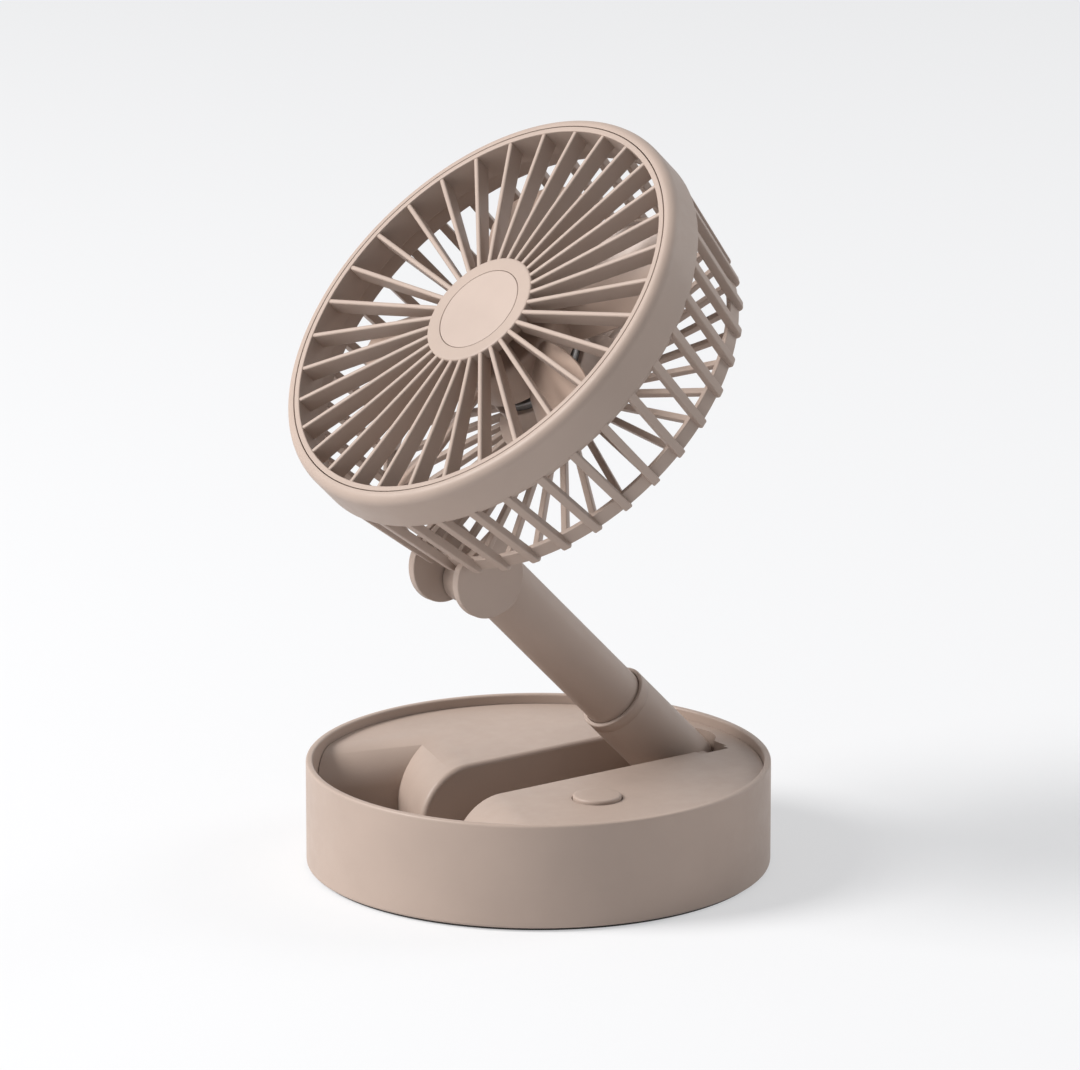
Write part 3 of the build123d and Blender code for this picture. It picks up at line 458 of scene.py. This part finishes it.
def add_plate(bm, outline, low, high, turn=0.0):
    """Flat plate: outline in (outward, along), from low to high sideways, turned round the axis."""
    ring = [bm.verts.new((x, low, z)) for x, z in outline]
    edges = [bm.edges.new((a, b)) for a, b in zip(ring, ring[1:] + ring[:1])]
    plate = bmesh.ops.contextual_create(bm, geom=edges)["faces"]
    pushed = bmesh.ops.extrude_face_region(bm, geom=plate)["geom"]
    far_side = [v for v in pushed if isinstance(v, bmesh.types.BMVert)]
    bmesh.ops.translate(bm, vec=(0, high - low, 0), verts=far_side)
    bmesh.ops.rotate(bm, cent=(0, 0, 0), matrix=Matrix.Rotation(turn, 3, "Z"),
                     verts=ring + far_side)


def add_ear(bm, near):
    """Plate with a round end, standing out behind the rear ring."""
    steps = 56
    turns = [(pi + EAR_LEAN) * k / steps - EAR_LEAN for k in range(steps + 1)]
    outline = [(EAR_M + EAR_R * cos(turn), EAR_S + EAR_R * sin(turn)) for turn in turns]
    outline += [(EAR_M - EAR_R, REAR_S - 1.0), (CAGE_REAR_R - 1.0, REAR_S - 3.0)]
    low = -EAR_IN - EAR_T if near else EAR_IN
    add_plate(bm, outline, low, low + EAR_T)


def make_rear_cage():
    """Collar, rear ring, hub with the motor's cup, ribs that run on as back spokes, two ears."""
    bm = bmesh.new()
    collar, hub_r, cup_r, cup_in, cap_r, bore = RING_R - 1.6, 19.0, 14.6, 13.05, 15.1, 3.2
    hub_low, cap_seat, cup_low = REAR_S - 2.0, REAR_S - 1.05, 27.0
    ring_in, ring_out, ring_low, ring_top = 2.5, 1.1, REAR_S - 4.6, REAR_S - 0.4
    front_collar = [(collar - 1.9, 8.8, 0), (collar, 8.8, 0), (collar, 13.2, 0.3),
                    (collar - 1.9, 13.2, 0.3)]
    rear_ring = [(CAGE_REAR_R - ring_in, ring_low, 0.3), (CAGE_REAR_R - ring_out, ring_low, 0.3),
                 (CAGE_REAR_R - 1.2, ring_top, 0.5), (CAGE_REAR_R - ring_in, ring_top, 0.4)]
    hub = [(bore, hub_low, 0), (cup_in, hub_low, 0), (cup_in, cup_low, 0.2), (cup_r, cup_low, 0.5),
           (cup_r, hub_low, 0.3), (hub_r, hub_low, 0.3), (hub_r, REAR_S, 0.6), (cap_r, REAR_S, 0.2),
           (cap_r, cap_seat, 0), (bore, cap_seat, 0)]
    for part in (front_collar, rear_ring, hub):
        add_turned(bm, round_off(part, 0.2, 4), 180)
    closed(bm)
    ring_side, low = RING_R - 0.4, 11.4
    rib = round_off([(ring_side, low, 0), (CAGE_REAR_R, REAR_S, 1.9),
                     (CAGE_REAR_R - RIB_DEPTH, REAR_S, 0.5), (ring_side - RIB_DEPTH, low, 0)], 0, 6)
    for i in range(CAGE_RIBS):
        turn = (i + 0.5) * 2 * pi / CAGE_RIBS
        add_plate(bm, rib, -RIB_HALF, RIB_HALF, turn)
        add_bar(bm, (hub_r - 0.8, -BACK_SPOKE_HALF, hub_low),
                (CAGE_REAR_R - 2.1, BACK_SPOKE_HALF, REAR_S - 0.2), turn)
    add_ear(bm, True)
    add_ear(bm, False)
    closed(bm)
    finished(bm, "cage_moulding", "rear_cage", HEAD, edge=0.45, steps=3, angle=50)


def make_motor_cover():
    bm = bmesh.new()
    radius, low = 15.0, REAR_S - 1.0
    cap = [(0, low, 0), (radius, low, 0), (radius, REAR_S, 0.5), (0, REAR_S - 0.1, 0)]
    add_turned(bm, round_off(cap, 0.2), TURNS)
    closed(bm)
    finished(bm, "back_cap", "motor_cover", HEAD, edge=0)


def shape_blade(verts, root, plane):
    """Bends a flat unit grid into one blade: swept, pitched, cambered, with a round tip."""
    tip_starts, sweep_turn, arch = 0.72, 0.16, 1.5
    for v in verts:
        t, c = v.co.x + 0.5, v.co.y
        reach = root + t * (BLADE_TIP - root)
        pitch = radians(42 - 18 * t)
        tip = max(0.0, (t - tip_starts) / (1 - tip_starts))
        chord = (14.0 + 15.0 * sqrt(t)) * max(0.22, sqrt(1 - tip * tip)) ** 0.8
        camber = arch * (1 - 4 * c * c)
        across, depth = chord * c * cos(pitch), chord * c * sin(pitch) - camber
        spin = across / reach + sweep_turn * t * t
        v.co = Vector((reach * cos(spin), reach * sin(spin), plane + depth * 0.92))


def make_impeller():
    """Nose with swept, cambered blades."""
    bm = bmesh.new()
    front, back, hub, wall, sleeve_r, bore = 10.0, 22.0, 15.5, 1.5, 3.2, 1.16
    nose = [(bore, front + 1.0, 0), (hub, front + 1.0, 2.6), (hub, back, 0.4),
            (hub - wall, back, 0.3), (hub - wall, front + 3.0, 0.5), (sleeve_r, front + 3.0, 0.3),
            (sleeve_r, back - 0.5, 0.2), (bore, back - 0.5, 0)]
    add_turned(bm, round_off(nose, 0.3), TURNS)
    for i in range(BLADES):
        blade = bmesh.ops.create_grid(bm, x_segments=18, y_segments=10, size=0.5)["verts"]
        shape_blade(blade, hub - 0.8, front + 6.4)
        bmesh.ops.rotate(bm, cent=(0, 0, 0), matrix=Matrix.Rotation(i * 2 * pi / BLADES, 3, "Z"),
                         verts=blade)
        faces = list({f for v in blade for f in v.link_faces})
        bmesh.ops.recalc_face_normals(bm, faces=faces)
        bmesh.ops.solidify(bm, geom=faces, thickness=BLADE_T)
    closed(bm)
    finished(bm, "fan_wheel", "fan_impeller", HEAD, edge=0.3, steps=2, angle=50)


for make in (make_shell, make_deck, make_pad, make_button, make_sleeve, make_collar, make_tube,
             make_front_ring, make_front_grille, make_hub_disc, make_rear_cage, make_motor_cover,
             make_impeller):
    make()

# ---- camera, floor, light -------------------------------------------------------------------
PHOTO_WIDTH, SENSOR, FOCAL_PIXELS, DISTANCE = 1080, 36.0, 8000, 2.0706
turn, lift = radians(-36.15), radians(15.1)
back = Vector((sin(turn) * cos(lift), -cos(turn) * cos(lift), sin(lift)))
right = Vector((cos(turn), sin(turn), 0))
up = back.cross(right)
look_at = right * 0.00041 + up * 0.08433
camera = bpy.data.objects.new("camera", bpy.data.cameras.new("camera"))
bpy.context.scene.collection.objects.link(camera)
facing = Matrix((right, up, back)).transposed().to_4x4()
camera.matrix_world = Matrix.Translation(look_at + back * DISTANCE) @ facing
camera.data.sensor_width = SENSOR
camera.data.lens = FOCAL_PIXELS / PHOTO_WIDTH * SENSOR
camera.data.clip_end = 50.0
bpy.context.scene.camera = camera
bpy.context.scene.view_settings.view_transform = "Standard"


def lamp(name, place, aim, size, power, colour=(1, 1, 1)):
    """Round soft light at a place, facing its aim."""
    light = bpy.data.lights.new(name, "AREA")
    light.shape = "DISK"
    light.size = size
    light.energy = power
    light.color = colour
    holder = bpy.data.objects.new(name, light)
    bpy.context.scene.collection.objects.link(holder)
    away = Vector(place) - Vector(aim)
    facing = away.to_track_quat("Z", "Y").to_matrix().to_4x4()
    holder.matrix_world = Matrix.Translation(place) @ facing


def seen_by_eye(nodes, links):
    """1 for what the eye, a reflection or glass sees."""
    path = nodes.new("ShaderNodeLightPath")
    most = nodes.new("ShaderNodeMath")
    most.operation = "MAXIMUM"
    links.new(path.outputs["Is Camera Ray"], most.inputs[0])
    links.new(path.outputs["Is Glossy Ray"], most.inputs[1])
    last = nodes.new("ShaderNodeMath")
    last.operation = "MAXIMUM"
    links.new(most.outputs[0], last.inputs[0])
    links.new(path.outputs["Is Transmission Ray"], last.inputs[1])
    return last.outputs[0]


AIM = (0, 0, 0.09)
SHOWN = (0.925, 0.93, 0.94, 1)      # what the eye sees behind and in the table
GLOW_SHARE = 0.52                   # how much of the table's look is that plain tone
lamp("key_light", (-1.62, 0.8, 1.6), AIM, 1.1, 74, (1.0, 0.99, 0.975))
lamp("side_light", (1.6, -0.4, 0.9), AIM, 0.9, 8)

world = bpy.data.worlds.new("studio")
bpy.context.scene.world = world
world.use_nodes = True
nodes, links = world.node_tree.nodes, world.node_tree.links
nodes.clear()
shown, lit = nodes.new("ShaderNodeBackground"), nodes.new("ShaderNodeBackground")
shown.inputs["Color"].default_value = SHOWN
lit.inputs["Color"].default_value = (0.95, 0.97, 1.0, 1)
lit.inputs["Strength"].default_value = 0.36
mix, out = nodes.new("ShaderNodeMixShader"), nodes.new("ShaderNodeOutputWorld")
links.new(seen_by_eye(nodes, links), mix.inputs[0])
links.new(lit.outputs[0], mix.inputs[1])
links.new(shown.outputs[0], mix.inputs[2])
links.new(mix.outputs[0], out.inputs[0])

bm = bmesh.new()
bmesh.ops.create_circle(bm, cap_ends=True, radius=12.0, segments=96)
floor_mesh = bpy.data.meshes.new("table_top")
bm.to_mesh(floor_mesh)
bm.free()
floor = bpy.data.objects.new("table_top", floor_mesh)
bpy.context.scene.collection.objects.link(floor)
material = bpy.data.materials.new("pale_table")
material.use_nodes = True
nodes, links = material.node_tree.nodes, material.node_tree.links
nodes.clear()
out = nodes.new("ShaderNodeOutputMaterial")
plain, glow, mix, blend = (nodes.new("ShaderNodeBsdfDiffuse"), nodes.new("ShaderNodeEmission"),
                           nodes.new("ShaderNodeMixShader"), nodes.new("ShaderNodeMath"))
plain.inputs["Color"].default_value = (0.8, 0.8, 0.81, 1)
glow.inputs["Color"].default_value = SHOWN
blend.operation = "MULTIPLY"
links.new(seen_by_eye(nodes, links), blend.inputs[0])
blend.inputs[1].default_value = GLOW_SHARE
links.new(blend.outputs[0], mix.inputs[0])
links.new(plain.outputs[0], mix.inputs[1])
links.new(glow.outputs[0], mix.inputs[2])
links.new(mix.outputs[0], out.inputs[0])
floor.data.materials.append(material)
